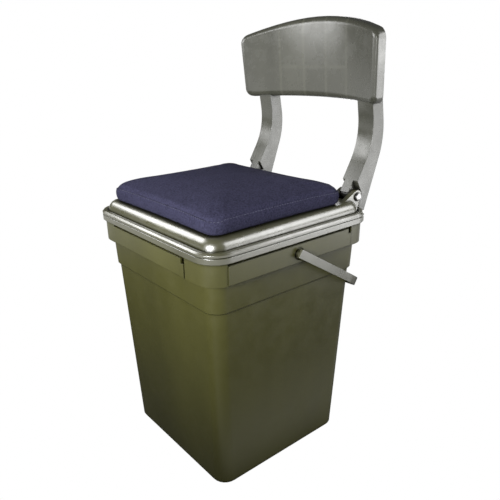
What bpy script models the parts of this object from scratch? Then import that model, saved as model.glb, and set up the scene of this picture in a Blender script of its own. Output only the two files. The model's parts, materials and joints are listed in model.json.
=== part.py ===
"""Square bait bucket with a bail, a padded press-on seat lid and a backrest that folds forward.

Lengths are in metres, +Z is up and the sitter faces -Y. All shapes are written about the
bucket's own axis, and one root empty then moves that axis so that the whole object stands
with the middle of its bounding box over the origin.
"""
from math import acos, atan2, cos, hypot, pi, radians, sin, sqrt, tan

import bmesh
import bpy
from mathutils import Matrix, Vector

# Fits
REST_GAP = 0.0003          # between two pieces that touch
PRESS_PLAY = 0.0005        # lid skirt round the bucket's rim
TURN_PLAY = 0.0003         # round a pin or stub that turns
SIDE_PLAY = 0.0003         # beside a knuckle or a flange that turns
BLEND = 0.0015             # how far one moulded feature runs into the next

# Bucket
BASE_HALF = 0.121
DRAFT = 0.0403             # outward lean of the wall, per metre of height
CORNER_R = 0.0217
WALL_T = 0.0026
FLOOR_T = 0.003
FLOOR_FILLET = 0.006
FOOT_H = 0.004
FOOT_W = 0.012
FOOT_ROUND = 0.0018
RIM_Z = 0.367
STEP_DROP = 0.0815         # nesting step below the rim
STEP_H = 0.003
STEP_OUT = 0.0025
RIM_OUT = 0.0082           # rim bead beyond the wall
RIM_H = 0.0075
RIM_ROUND = 0.0012
NECK_OUT = 0.001
APRON_OUT = 0.0077         # apron beyond the wall
APRON_T = 0.0022
APRON_DROP = 0.0405        # apron's lower edge below the rim
APRON_TOP_DROP = 0.0105

# Raised panels on the apron, each with a notch at its right-hand end
PANEL_TOP_DROP = 0.0135
PANEL_PROUD = 0.0008
PANEL_LIP = 0.0012
PANEL_GAP_DEPTH = 0.005
FRONT_PANEL_LEFT = 0.097
FRONT_PANEL_RIGHT = 0.0893
SIDE_PANEL_LEFT = 0.120
SIDE_PANEL_RIGHT = 0.1055
NOTCH_W = 0.0065
NOTCH_H = 0.0075
GROOVE_W = 0.0012
GROOVE_D = 0.0007

# Bail
BAIL_DROP = 0.027          # pivot below the rim
BAIL_REST_DEG = 31.5       # below level
BAIL_TUCK = 0.0067465      # outside of the resting crossbar ahead of the lid's rear face
BAIL_CORNER_R = 0.053
BAIL_T = 0.0035
BAIL_W = 0.012
BAIL_TAIL = 0.007          # strap beyond the pivot
BAIL_STANDOFF = 0.0052     # strap clear of the side panel
BAIL_SWELL = 0.0005        # strap thickens by this towards the grip
GRIP_HALF = 0.052
GRIP_RAMP = 0.010
GRIP_EXTRA = 0.0065
COLLAR_R = 0.0058
STUB_R = 0.0045
STUB_HEAD_R = 0.0062
STUB_HEAD_T = 0.0025
SOCKET_R = 0.0088
SOCKET_D = 0.0012

# Lid
SKIRT_T = 0.003
SKIRT_GAP = 0.0005         # skirt above the apron's corners
BEAD_LINE_DROP = 0.0010    # main bead line below the bucket's rim level
BEAD_LINE_H = 0.0016
BEAD_LINE_D = 0.0010
LEDGE_RISE = 0.0048        # ledge above the bucket's rim
LEDGE_ROUND = 0.0022
LEDGE_W = 0.0075
GUTTER_W = 0.0025
GUTTER_D = 0.0018
SHOULDER_W = 0.0125
SHOULDER_H = 0.0145
SHOULDER_STEPS = 5
PLATFORM_RISE = 0.0180     # seat platform above the bucket's rim
PLATFORM_T = 0.003
PLUG_PLAY = 0.0008
PLUG_T = 0.0025
PLUG_DROP = 0.012
RIB_T = 0.0022
RIB_H = 0.008
LID_RIB_CELLS = 5

# Cushion and its tape
CUSHION_OVERHANG = 0.0022  # beyond the flat of the platform
CUSHION_REAR_SETBACK = 0.037   # rear edge ahead of the hinge pins
CUSHION_EDGE_H = 0.0315
CUSHION_CROWN = 0.006
CUSHION_ROUND = 0.0075
CUSHION_CORNER_R = 0.028
CUSHION_PULL = 0.0018      # sides drawn in between the corners
TAPE_L = 0.160
TAPE_W = 0.025
TAPE_T = 0.0014
TAPE_SPREAD = 0.070        # tape centre from the middle plane

# Hinges
PIN_SETBACK = 0.005        # pin ahead of the lid's rear face
PIN_RISE = 0.0025          # pin above the platform
PIN_R = 0.003
PIN_HEAD_R = 0.0058
PIN_HEAD_RIM = 0.0013
PIN_HEAD_DOME = 0.0019
WASHER_R = 0.0066
WASHER_T = 0.0012
RETAINER_R = 0.0055
RETAINER_T = 0.0030
RETAINER_TIP_R = 0.0038
EAR_R = 0.010
EAR_T = 0.008
EAR_FRONT = 0.0263         # foot of the ear's front slope ahead of the pin
EAR_REAR = 0.0042          # upright rear of the ear behind the pin
EAR_ROOT = 0.0165          # ear sunk below the platform level

# Arms
ARM_INSET = 0.02779        # outer face inside the lid's side
ARM_W = 0.0278
TONGUE_W = 0.0152          # arm between the ears
WEB_T = 0.0035
FLANGE_T = 0.003
ARM_LEAN_DEG = 31.0        # front of the lower arm, back from upright
ARM_FRONT_OFFSET = 0.0133  # front of the lower arm from the pin axis
ARM_FRONT_R = 0.095
ARM_FRONT_Y = 0.0278384    # front edge's rearmost point behind the pin
ARM_REAR_R = 0.107
ARM_REAR_LEAN_DEG = 20.0
ARM_REAR_TOP_Z = 0.0905
ARM_REAR_Y = 0.0521        # rearmost point behind the pin
ARM_HEAD_DEG = 10.0        # forward lean of the arm's upper end
ARM_TOP_Z = 0.2125
HEEL_DROP = 0.033
HEEL_PLAY = 0.0006         # heel behind the lid's skirt
EAR_PLAY = 0.0006          # round the ear
CUT_DEG = 29.5             # direction that the flange's cut faces
KNUCKLE_R = 0.011
RELIEF_PLAY = 0.003        # room for the folding arm's lower end

# Back panel
PANEL_OVERHANG = 0.0174    # panel's ends beyond the arms
PANEL_FLARE = 0.028        # widening towards the top, as a share of the half width
PANEL_Z = 0.1326           # lower edge above the pin
PANEL_H = 0.099
PANEL_Y = 0.0016           # front of the panel's ends behind the pin
PANEL_BOW = 0.0334
PANEL_LEAN = 0.0734        # forward lean, per metre of height
PANEL_TOP_ARCH = 0.0236
PANEL_LOW_ARCH = 0.0035
PANEL_DEPTH = 0.021
PANEL_T = 0.003
PANEL_EDGE_R = 0.009
PANEL_CORNER_R = 0.012
PANEL_SLICES = 14
RIB_INNER_X = 0.0233
RIB_OUTER_X = 0.070
RIB_SETBACK = 0.002        # ribs below the panel's rear edge
SCREW_LOW = 0.027          # screws above the panel's lower edge
SCREW_HIGH = 0.066
BOSS_R = 0.0045
BOSS_PLAY = 0.0004
BOSS_ROOT = 0.0020         # boss starts this far behind the front face
SCREW_R = 0.0017
SCREW_L = 0.0085
SCREW_HEAD_R = 0.0062
SCREW_HEAD_H = 0.0028
SCREW_FLANGE_T = 0.0010
SCREW_CROWN_R = 0.0038
HEAD_PAD_T = 0.0035        # thinnest part of the arm's head under a screw

# Facets
CORNER_STEPS = 6
TURN_STEPS = 20
ARC_STEPS = 8
CUSHION_STEPS = 6
CROWN_TIP = 0.5            # part of a step from the crown's last ring to its middle

# Derived places, about the bucket's axis
STEP_Z = RIM_Z - STEP_DROP


def wall(z):
    """Half width of the bucket's outside at height z."""
    return BASE_HALF + DRAFT * z + (STEP_OUT if z >= STEP_Z else 0.0)


WALL_TOP = wall(RIM_Z)
RIM_HALF = WALL_TOP + RIM_OUT
APRON_HALF = WALL_TOP + APRON_OUT
APRON_BOTTOM = RIM_Z - APRON_DROP
APRON_TOP = RIM_Z - APRON_TOP_DROP
PANEL_TOP = RIM_Z - PANEL_TOP_DROP
FLANGE_UNDER = PANEL_TOP - APRON_T
PANEL_FACE = APRON_HALF + PANEL_PROUD
BAIL_Z = RIM_Z - BAIL_DROP
BAIL_IN = PANEL_FACE + BAIL_STANDOFF
BAIL_OUT = BAIL_IN + BAIL_T

LID_HALF = RIM_HALF + PRESS_PLAY + SKIRT_T
LID_BOTTOM = APRON_TOP + SKIRT_GAP
BAIL_REACH = (LID_HALF - BAIL_TUCK) / cos(radians(BAIL_REST_DEG))   # pivot to the crossbar's outside
CHANNEL_Z = RIM_Z + REST_GAP
LEDGE_Z = RIM_Z + LEDGE_RISE
GUTTER_OUT = LID_HALF - LEDGE_W
GUTTER_IN = GUTTER_OUT - GUTTER_W
GUTTER_Z = LEDGE_Z - GUTTER_D
PLATFORM_Z = RIM_Z + PLATFORM_RISE
PLATFORM_HALF = GUTTER_IN - SHOULDER_W
SHOULDER_Z = PLATFORM_Z - SHOULDER_H
PLUG_HALF = WALL_TOP - WALL_T - PLUG_PLAY

PIN_Y = LID_HALF - PIN_SETBACK
PIN_Z = PLATFORM_Z + PIN_RISE
PIN_YZ = (PIN_Y, PIN_Z)
ARM_OUT_X = LID_HALF - ARM_INSET
ARM_X = ARM_OUT_X - ARM_W / 2
EAR_IN = TONGUE_W / 2 + SIDE_PLAY
EAR_OUT = EAR_IN + EAR_T
HINGE_X = ARM_OUT_X - EAR_OUT
HEEL_Y = LID_HALF + HEEL_PLAY

CUSHION_HALF = PLATFORM_HALF + CUSHION_OVERHANG
CUSHION_REAR = PIN_Y - CUSHION_REAR_SETBACK
CUSHION_HALF_Y = (CUSHION_HALF + CUSHION_REAR) / 2
CUSHION_MID_Y = (CUSHION_REAR - CUSHION_HALF) / 2
CUSHION_Z = PLATFORM_Z + REST_GAP

PANEL_HALF = ARM_OUT_X + PANEL_OVERHANG
PANEL_LOW_Z = PIN_Z + PANEL_Z
PANEL_END_Y = PIN_Y + PANEL_Y
PANEL_SLOPE = 2 * PANEL_BOW * ARM_OUT_X / PANEL_HALF ** 2
PANEL_T_ALONG = PANEL_T * sqrt(1 + PANEL_SLOPE ** 2 + PANEL_LEAN ** 2)   # wall measured front to back
REAR_REACH = max(PANEL_END_Y + PANEL_BOW + PANEL_DEPTH, PIN_Y + ARM_REAR_Y)
AXIS_Y = (LID_HALF - REAR_REACH) / 2

# Outlines written as (across, up) stand up in the side or the front elevation
SIDE_VIEW = Matrix(((0, 0, 1, 0), (1, 0, 0, 0), (0, 1, 0, 0), (0, 0, 0, 1)))
FRONT_VIEW = Matrix.Rotation(radians(90), 4, "X")
TURN_TO_X = Matrix.Rotation(radians(90), 4, "Y")
TURN_TO_REAR = Matrix.Rotation(radians(-90), 4, "X")


# Scene set-up
def clear_scene():
    for old in list(bpy.data.objects):
        bpy.data.objects.remove(old, do_unlink=True)


def new_collection(name):
    made = bpy.data.collections.new(name)
    bpy.context.scene.collection.children.link(made)
    return made


def new_material(name, colour, roughness, metallic=0.0):
    made = bpy.data.materials.new(name)
    made.use_nodes = True
    shader = made.node_tree.nodes["Principled BSDF"]
    shader.inputs["Base Color"].default_value = (*colour, 1.0)
    shader.inputs["Roughness"].default_value = roughness
    shader.inputs["Metallic"].default_value = metallic
    made.diffuse_color = (*colour, 1.0)
    return made


def new_empty(name, place):
    made = bpy.data.objects.new(name, None)
    made.location = place
    made.empty_display_size = 0.03
    PARTS.objects.link(made)
    return made


def hold(piece, empty):
    """Parent a piece that is drawn about the bucket's axis to an empty elsewhere."""
    piece.parent = empty
    piece.location = ROOT.location - empty.location
    return piece


def finish(piece, empty, material):
    """Make a drawn object a named part."""
    CUTTERS.objects.unlink(piece)
    PARTS.objects.link(piece)
    piece.hide_render = False
    piece.display_type = "TEXTURED"
    piece.data.materials.clear()
    piece.data.materials.append(material)
    return hold(piece, empty)


# Drawing tools. Each gives a mesh object among the cutters; finish() makes it a part.
def draw(name, mesh):
    made = bpy.data.objects.new(name, mesh)
    CUTTERS.objects.link(made)
    made.hide_render = True
    made.display_type = "WIRE"
    return hold(made, ROOT)


def draw_bmesh(name, shape):
    mesh = bpy.data.meshes.new(name)
    shape.to_mesh(mesh)
    shape.free()
    mesh.shade_smooth()
    mesh.set_sharp_from_angle(angle=radians(35))
    return draw(name, mesh)


def boolean(piece, other, operation="DIFFERENCE"):
    step = piece.modifiers.new(operation.lower() + "_" + other.name, "BOOLEAN")
    step.operation = operation
    step.object = other
    step.solver = "EXACT"


def arc(centre, radius, start, stop, steps=ARC_STEPS):
    """Points on a circle from one angle to another, in degrees."""
    turns = [radians(start + (stop - start) * i / steps) for i in range(steps + 1)]
    return [(centre[0] + radius * cos(a), centre[1] + radius * sin(a)) for a in turns]


def touch_angle(point, centre, radius, side):
    """Direction from a circle's centre to where a line from the point touches it, in degrees."""
    across = point[0] - centre[0]
    up = point[1] - centre[1]
    return (atan2(up, across) + side * acos(radius / hypot(across, up))) * 180 / pi


def toward(point, degrees, distance):
    return (point[0] + distance * cos(radians(degrees)), point[1] + distance * sin(radians(degrees)))


def extrude(name, loops, thickness, view, middle=0.0):
    """Flat outline with any holes, given a thickness about a middle plane."""
    curve = bpy.data.curves.new(name, "CURVE")
    curve.dimensions = "2D"
    curve.fill_mode = "BOTH"
    curve.extrude = thickness / 2
    for loop in loops:
        spline = curve.splines.new("POLY")
        spline.points.add(len(loop) - 1)
        for point, place in zip(spline.points, loop):
            point.co = (place[0], place[1], 0.0, 1.0)
        spline.use_cyclic_u = True
    flat = bpy.data.objects.new(name, curve)
    CUTTERS.objects.link(flat)
    graph = bpy.context.evaluated_depsgraph_get()
    mesh = bpy.data.meshes.new_from_object(flat.evaluated_get(graph))
    bpy.data.objects.remove(flat)
    bpy.data.curves.remove(curve)
    shape = bmesh.new()
    shape.from_mesh(mesh)
    bpy.data.meshes.remove(mesh)
    bmesh.ops.remove_doubles(shape, verts=shape.verts, dist=0.00001)
    bmesh.ops.recalc_face_normals(shape, faces=shape.faces)
    shape.transform(view @ Matrix.Translation((0.0, 0.0, middle)))
    return draw_bmesh(name, shape)


def boxes(name, corners):
    """One object of separate boxes, each given by its lowest and highest corner."""
    shape = bmesh.new()
    for low, high in corners:
        size = [b - a for a, b in zip(low, high)]
        middle = [(a + b) / 2 for a, b in zip(low, high)]
        place = Matrix.Translation(middle) @ Matrix.Diagonal((*size, 1.0))
        bmesh.ops.create_cube(shape, size=1.0, matrix=place)
    return draw_bmesh(name, shape)


def rods(name, radius, spans, turn):
    """One object of separate round bars, each given by its two end points."""
    shape = bmesh.new()
    for start, stop in spans:
        middle = (Vector(start) + Vector(stop)) / 2
        length = (Vector(stop) - Vector(start)).length
        place = Matrix.Translation(middle) @ turn
        bmesh.ops.create_cone(shape, cap_ends=True, segments=TURN_STEPS, radius1=radius,
                              radius2=radius, depth=length, matrix=place)
    return draw_bmesh(name, shape)


def turned(name, profile, place, turn):
    """Turned piece: (radius, height) points run down the outside, from top to bottom."""
    mesh = bpy.data.meshes.new(name)
    edges = [(i, i + 1) for i in range(len(profile) - 1)]
    if profile[0][0] > 0.0:
        edges.append((len(profile) - 1, 0))
    mesh.from_pydata([(radius, 0.0, height) for radius, height in profile], edges, [])
    made = draw(name, mesh)
    spin = made.modifiers.new("turn", "SCREW")
    spin.axis = "Z"
    spin.steps = TURN_STEPS
    spin.render_steps = TURN_STEPS
    spin.use_merge_vertices = True
    spin.merge_threshold = 0.00001
    graph = bpy.context.evaluated_depsgraph_get()
    solid = bpy.data.meshes.new_from_object(made.evaluated_get(graph))
    bpy.data.objects.remove(made)
    bpy.data.meshes.remove(mesh)
    solid.transform(Matrix.Translation(place) @ turn)
    solid.shade_smooth()
    solid.set_sharp_from_angle(angle=radians(35))
    return draw(name, solid)


def sideways(sign):
    """Turn that lays a turned piece along X, its top outwards on the left or the right."""
    return Matrix.Rotation(radians(90 * sign), 4, "Y")


def ring(half_x, half_y, radius, z, middle_y=0.0, side_steps=1, pull=0.0):
    """Rounded rectangle at one height, its sides drawn in by a small pull."""
    points = []
    corners = ((1, 1, 0), (-1, 1, 90), (-1, -1, 180), (1, -1, 270))
    for sign_x, sign_y, start in corners:
        centre = (sign_x * (half_x - radius), sign_y * (half_y - radius))
        points += arc(centre, radius, start, start + 90, CORNER_STEPS)
        after = arc(centre, radius, start + 90, start + 90, 1)[0]
        following = corners[(corners.index((sign_x, sign_y, start)) + 1) % 4]
        far = (following[0] * (half_x - radius), following[1] * (half_y - radius))
        far = arc(far, radius, following[2], following[2], 1)[0]
        for i in range(1, side_steps):
            share = i / side_steps
            points.append(tuple(a + (b - a) * share for a, b in zip(after, far)))
    drawn = []
    for x, y in points:
        inward_x = pull * (1 - (y / half_y) ** 2) * (x / half_x)
        inward_y = pull * (1 - (x / half_x) ** 2) * (y / half_y)
        drawn.append(Vector((x - inward_x, y - inward_y + middle_y, z)))
    return drawn


def loft(name, rings):
    """Closed skin through a run of rings, capped at the first and the last."""
    shape = bmesh.new()
    rows = [[shape.verts.new(point) for point in points] for points in rings]
    count = len(rows[0])
    for low, high in zip(rows, rows[1:]):
        for i in range(count):
            j = (i + 1) % count
            shape.faces.new((low[i], low[j], high[j], high[i]))
    shape.faces.new(list(reversed(rows[0])))
    shape.faces.new(rows[-1])
    bmesh.ops.recalc_face_normals(shape, faces=shape.faces)
    return draw_bmesh(name, shape)


def square_loft(name, profile):
    """Skin round a square piece whose wall is drawn as (half width, height) points."""
    rings = []
    for half, z in profile:
        radius = CORNER_R + half - wall(z) if z < RIM_Z else CORNER_R + half - WALL_TOP
        rings.append(ring(half, half, max(radius, FOOT_ROUND), z))
    return loft(name, rings)


# Bucket
def bucket_panel_spans():
    """Each raised panel as (turn about the axis, left end, right end), seen from outside."""
    front = (-FRONT_PANEL_LEFT, FRONT_PANEL_RIGHT)
    side = (-SIDE_PANEL_LEFT, SIDE_PANEL_RIGHT)
    return ((0, *front), (90, *side), (180, *front), (270, *side))


def turn_about_axis(piece, degrees):
    piece.data.transform(Matrix.Rotation(radians(degrees), 4, "Z"))


def bucket_shell():
    floor_z = FOOT_H + FLOOR_T
    bead_low = RIM_Z - RIM_H
    inside_top = WALL_TOP - WALL_T
    foot_mid = FOOT_ROUND * (1 - cos(pi / 4))
    fillet_mid = FLOOR_FILLET * (1 - cos(pi / 4))
    profile = [
        (BASE_HALF - FOOT_ROUND - FOOT_W, FOOT_H),
        (BASE_HALF - FOOT_ROUND - FOOT_W, 0.0),
        (BASE_HALF - FOOT_ROUND, 0.0),
        (BASE_HALF - foot_mid, foot_mid),
        (wall(FOOT_ROUND), FOOT_ROUND),
        (wall(STEP_Z - STEP_H), STEP_Z - STEP_H),
        (wall(STEP_Z), STEP_Z),
        (wall(FLANGE_UNDER), FLANGE_UNDER),
        (APRON_HALF - APRON_T, FLANGE_UNDER),
        (APRON_HALF - APRON_T, APRON_BOTTOM),
        (APRON_HALF, APRON_BOTTOM),
        (APRON_HALF, APRON_TOP),
        (WALL_TOP + NECK_OUT, APRON_TOP),
        (WALL_TOP + NECK_OUT, bead_low),
        (RIM_HALF, bead_low + RIM_ROUND),
        (RIM_HALF, RIM_Z - RIM_ROUND),
        (RIM_HALF - RIM_ROUND, RIM_Z),
        (inside_top + RIM_ROUND, RIM_Z),
        (inside_top, RIM_Z - RIM_ROUND),
        (wall(STEP_Z) - WALL_T, STEP_Z),
        (wall(STEP_Z - STEP_H) - WALL_T, STEP_Z - STEP_H),
        (wall(floor_z + FLOOR_FILLET) - WALL_T, floor_z + FLOOR_FILLET),
        (wall(floor_z) - WALL_T - fillet_mid, floor_z + fillet_mid),
        (wall(floor_z) - WALL_T - FLOOR_FILLET, floor_z),
    ]
    shell = square_loft("bucket_shell", profile)
    for turn, left, right in bucket_panel_spans():
        face = boxes("panel_face", [((left, -PANEL_FACE, APRON_BOTTOM + PANEL_LIP),
                                     (right, BLEND - APRON_HALF, PANEL_TOP - PANEL_LIP / 2))])
        turn_about_axis(face, turn)
        boolean(shell, face, "UNION")
    over = APRON_TOP + BLEND
    for turn, left, right in bucket_panel_spans():
        gap = [(left, over), (left, PANEL_TOP), (right - NOTCH_W, PANEL_TOP),
               (right - NOTCH_W, PANEL_TOP - NOTCH_H), (right, PANEL_TOP - NOTCH_H), (right, over)]
        thickness = PANEL_GAP_DEPTH + PANEL_PROUD + BLEND
        middle = APRON_HALF - PANEL_GAP_DEPTH + thickness / 2
        cut = extrude("panel_gap", [gap], thickness, FRONT_VIEW, middle)
        turn_about_axis(cut, turn)
        boolean(shell, cut)
        low = (right - GROOVE_W / 2, -PANEL_FACE - BLEND, APRON_BOTTOM - BLEND)
        high = (right + GROOVE_W / 2, GROOVE_D - APRON_HALF, over)
        groove = boxes("panel_groove", [(low, high)])
        turn_about_axis(groove, turn)
        boolean(shell, groove)
    outside = PANEL_FACE + BLEND
    for sign in (-1, 1):
        hole_r = STUB_R + TURN_PLAY
        ledge = PANEL_FACE - SOCKET_D
        inside = WALL_TOP + BLEND
        profile = [(0.0, outside), (SOCKET_R, outside), (SOCKET_R, ledge), (hole_r, ledge), (hole_r, inside),
                   (0.0, inside)]
        boolean(shell, turned("bail_socket", profile, (0.0, 0.0, BAIL_Z), sideways(sign)))
    return finish(shell, ROOT, OLIVE)


# Bail
def bail_handle():
    """U strap drawn flat in its own plane, with the pivot at the origin, then turned to rest."""
    centre_x = BAIL_OUT - BAIL_CORNER_R
    centre_s = BAIL_REACH - BAIL_CORNER_R
    inner_r = BAIL_CORNER_R - BAIL_T
    inside = BAIL_REACH - BAIL_T
    outer = [(BAIL_OUT, -BAIL_TAIL)] + arc((centre_x, centre_s), BAIL_CORNER_R, 0, 90)
    outer += arc((-centre_x, centre_s), BAIL_CORNER_R, 90, 180) + [(-BAIL_OUT, -BAIL_TAIL)]
    inner = [(-BAIL_IN, -BAIL_TAIL)] + arc((-centre_x, centre_s), inner_r, 180, 90)
    ramp = GRIP_HALF + GRIP_RAMP
    inner += [(-ramp, inside - BAIL_SWELL), (-GRIP_HALF, inside - GRIP_EXTRA)]
    inner += [(GRIP_HALF, inside - GRIP_EXTRA), (ramp, inside - BAIL_SWELL)]
    inner += arc((centre_x, centre_s), inner_r, 90, 0) + [(BAIL_IN, -BAIL_TAIL)]
    strap = extrude("bail_handle", [outer + inner], BAIL_W, Matrix.Identity(4))
    for sign in (-1, 1):
        root = BAIL_IN + BLEND
        collar_end = PANEL_FACE - SOCKET_D + REST_GAP
        neck_end = APRON_HALF - APRON_T - REST_GAP
        head_end = neck_end - STUB_HEAD_T
        profile = [(0.0, root), (COLLAR_R, root), (COLLAR_R, collar_end), (STUB_R, collar_end),
                   (STUB_R, neck_end), (STUB_HEAD_R, neck_end), (STUB_HEAD_R, neck_end - STUB_HEAD_T / 2),
                   (STUB_R, head_end), (0.0, head_end)]
        stub = turned("bail_stub", profile, (0.0, 0.0, 0.0), sideways(sign))
        stub.parent = BAIL_AXIS
        stub.location = (0.0, 0.0, 0.0)
        stub.rotation_euler = (-radians(BAIL_REST_DEG), 0.0, 0.0)
        boolean(strap, stub, "UNION")
    finish(strap, BAIL_AXIS, OLIVE_LID)
    strap.location = (0.0, 0.0, 0.0)
    strap.rotation_euler = (-radians(BAIL_REST_DEG), 0.0, 0.0)
    return strap


# Lid
def lid_shell():
    bend = arc((0.0, 0.0), 1.0, 0, 90, SHOULDER_STEPS)
    shoulder = [(PLATFORM_HALF + SHOULDER_W * across, SHOULDER_Z + SHOULDER_H * up) for across, up in bend]
    plug_in = PLUG_HALF - PLUG_T
    inward = (plug_in - PLATFORM_HALF) / (SHOULDER_W - PLATFORM_T)
    plug_low = RIM_Z - PLUG_DROP
    plug_rise = SHOULDER_Z + (SHOULDER_H - PLATFORM_T) * sqrt(1 - inward ** 2)
    skirt_in = RIM_HALF + PRESS_PLAY
    line_z = RIM_Z - BEAD_LINE_DROP
    profile = [
        (PLATFORM_HALF, PLATFORM_Z - PLATFORM_T),
        (plug_in, plug_rise),
        (plug_in, plug_low),
        (PLUG_HALF, plug_low),
        (PLUG_HALF, CHANNEL_Z),
        (skirt_in, CHANNEL_Z),
        (skirt_in, LID_BOTTOM),
        (LID_HALF - LEDGE_ROUND / 2, LID_BOTTOM),
        (LID_HALF, LID_BOTTOM + LEDGE_ROUND / 2),
        (LID_HALF, line_z - BEAD_LINE_H / 2),
        (LID_HALF - BEAD_LINE_D, line_z),
        (LID_HALF, line_z + BEAD_LINE_H / 2),
        (LID_HALF, LEDGE_Z - LEDGE_ROUND),
        (LID_HALF - LEDGE_ROUND, LEDGE_Z),
        (GUTTER_OUT, LEDGE_Z),
        (GUTTER_OUT, GUTTER_Z - REST_GAP),
        (GUTTER_IN, GUTTER_Z - REST_GAP),
    ]
    lid = square_loft("lid_shell", profile + shoulder)
    boolean(lid, lid_ribs(), "UNION")
    for sign in (-1, 1):
        for inner, outer in ((EAR_IN, EAR_OUT), (-EAR_OUT, -EAR_IN)):
            middle = sign * HINGE_X + (inner + outer) / 2
            boolean(lid, extrude("hinge_ear", [ear_outline()], EAR_T, SIDE_VIEW, middle), "UNION")
    for sign in (-1, 1):
        x = sign * HINGE_X
        half = EAR_IN + EAR_T / 2
        low = (x - half, PIN_Y - EAR_FRONT + EAR_ROOT / 2 - BLEND, PLATFORM_Z - EAR_ROOT + BLEND)
        high = (x + half, PLUG_HALF - BLEND, PLATFORM_Z - BLEND)
        boolean(lid, boxes("hinge_gusset", [(low, high)]), "UNION")
        relief = rods("knuckle_relief", ARM_FRONT_OFFSET + RELIEF_PLAY,
                      [((x - EAR_IN, *PIN_YZ), (x + EAR_IN, *PIN_YZ))], TURN_TO_X)
        boolean(lid, relief)
        bore = rods("ear_bore", PIN_R + TURN_PLAY,
                    [((x - ARM_W, *PIN_YZ), (x + ARM_W, *PIN_YZ))], TURN_TO_X)
        boolean(lid, bore)
        boolean(lid, tape("hook_pocket", sign, PLATFORM_Z - TAPE_T - REST_GAP, BLEND + TAPE_T, REST_GAP))
    return finish(lid, LID_SEAT, OLIVE_LID)


def ear_outline():
    """Side of a hinge ear: round top about the pin, sloping front edge, foot in the lid."""
    foot = (PIN_Y - EAR_FRONT, PLATFORM_Z)
    start = -acos(EAR_REAR / EAR_R) * 180 / pi
    stop = touch_angle(foot, PIN_YZ, EAR_R, -1) % 360
    root = PLATFORM_Z - EAR_ROOT
    bend = arc(PIN_YZ, EAR_R, start, stop)
    return [(bend[0][0], root)] + bend + [foot, (foot[0] + EAR_ROOT / 2, root)]


def lid_ribs():
    """Stiffening grid under the platform: a slab with a square opening for each cell."""
    reach = PLUG_HALF - PLUG_T + BLEND / 2
    cell = (2 * reach - RIB_T) / LID_RIB_CELLS
    corner = CORNER_R + reach - WALL_TOP
    side = cell - RIB_T
    top = PLATFORM_Z - PLATFORM_T + BLEND / 2
    height = RIB_H + BLEND / 2
    flat = Matrix.Identity(4)
    outline = [(point.x, point.y) for point in ring(reach, reach, corner, 0.0)]
    slab = extrude("lid_ribs", [outline], height, flat, top - height / 2)
    plain = []
    for column in range(LID_RIB_CELLS):
        for row in range(LID_RIB_CELLS):
            x = -reach + RIB_T + column * cell
            y = -reach + RIB_T + row * cell
            if column in (0, LID_RIB_CELLS - 1) and row in (0, LID_RIB_CELLS - 1):
                loop = corner_cell(x, y, side, corner)
                boolean(slab, extrude("corner_cell", [loop], height + 2 * BLEND, flat, top - height / 2))
            else:
                plain.append(((x, y, top - height - BLEND), (x + side, y + side, top + BLEND)))
    boolean(slab, boxes("rib_cells", plain))
    return slab


def corner_cell(x, y, side, radius):
    """Square hole whose outer corner follows the lid's rounded corner."""
    middle_x = x + side / 2
    middle_y = y + side / 2
    sign_x = 1 if middle_x > 0 else -1
    sign_y = 1 if middle_y > 0 else -1
    half = side / 2
    centre = (middle_x + sign_x * (half - radius), middle_y + sign_y * (half - radius))
    begin = {(1, 1): 0, (-1, 1): 90, (-1, -1): 180, (1, -1): 270}[(sign_x, sign_y)]
    bend = arc(centre, radius, begin, begin + 90, CORNER_STEPS)
    if sign_x * sign_y > 0:
        before = (middle_x + sign_x * half, middle_y - sign_y * half)
        after = (middle_x - sign_x * half, middle_y + sign_y * half)
    else:
        before = (middle_x - sign_x * half, middle_y + sign_y * half)
        after = (middle_x + sign_x * half, middle_y - sign_y * half)
    inner = (middle_x - sign_x * half, middle_y - sign_y * half)
    return [before] + bend + [after, inner]


# Cushion and tape
def tape(name, sign, z, thickness, margin=0.0):
    x = sign * TAPE_SPREAD
    half_w = TAPE_W / 2 + margin
    half_l = TAPE_L / 2 + margin
    low = (x - half_w, CUSHION_MID_Y - half_l, z)
    high = (x + half_w, CUSHION_MID_Y + half_l, z + thickness)
    return boxes(name, [(low, high)])


def seat_cushion():
    """Sewn pad: drawn-in boxed sides, a rounded edge and a crowned top."""
    edge_z = CUSHION_Z + CUSHION_EDGE_H
    mid = CUSHION_ROUND * (1 - cos(pi / 4))
    levels = [(CUSHION_ROUND, CUSHION_Z), (mid, CUSHION_Z + mid), (0.0, CUSHION_Z + CUSHION_ROUND),
              (0.0, edge_z - CUSHION_ROUND), (mid, edge_z - mid), (CUSHION_ROUND, edge_z)]
    rings = []
    for inset, z in levels:
        rings.append(ring(CUSHION_HALF - inset, CUSHION_HALF_Y - inset, CUSHION_CORNER_R - inset, z,
                          CUSHION_MID_Y, CUSHION_STEPS, CUSHION_PULL))
    for step in range(CUSHION_STEPS // 2, 0, -1):
        share = (step - CROWN_TIP) / (CUSHION_STEPS // 2)
        z = edge_z + CUSHION_CROWN * (1 - share ** 2)
        rings.append(ring((CUSHION_HALF - CUSHION_ROUND) * share, (CUSHION_HALF_Y - CUSHION_ROUND) * share,
                          (CUSHION_CORNER_R - CUSHION_ROUND) * share, z, CUSHION_MID_Y, CUSHION_STEPS))
    pad = loft("seat_cushion", rings)
    for sign in (-1, 1):
        boolean(pad, tape("loop_pocket", sign, CUSHION_Z - BLEND, BLEND + TAPE_T + REST_GAP, REST_GAP))
    return finish(pad, LID_SEAT, NAVY_CLOTH)


def tapes():
    for sign, side in ((-1, "left"), (1, "right")):
        finish(tape("hook_strip_" + side, sign, PLATFORM_Z - TAPE_T, TAPE_T), LID_SEAT, BLACK_TAPE)
        finish(tape("loop_strip_" + side, sign, CUSHION_Z, TAPE_T), LID_SEAT, BLACK_TAPE)


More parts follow.
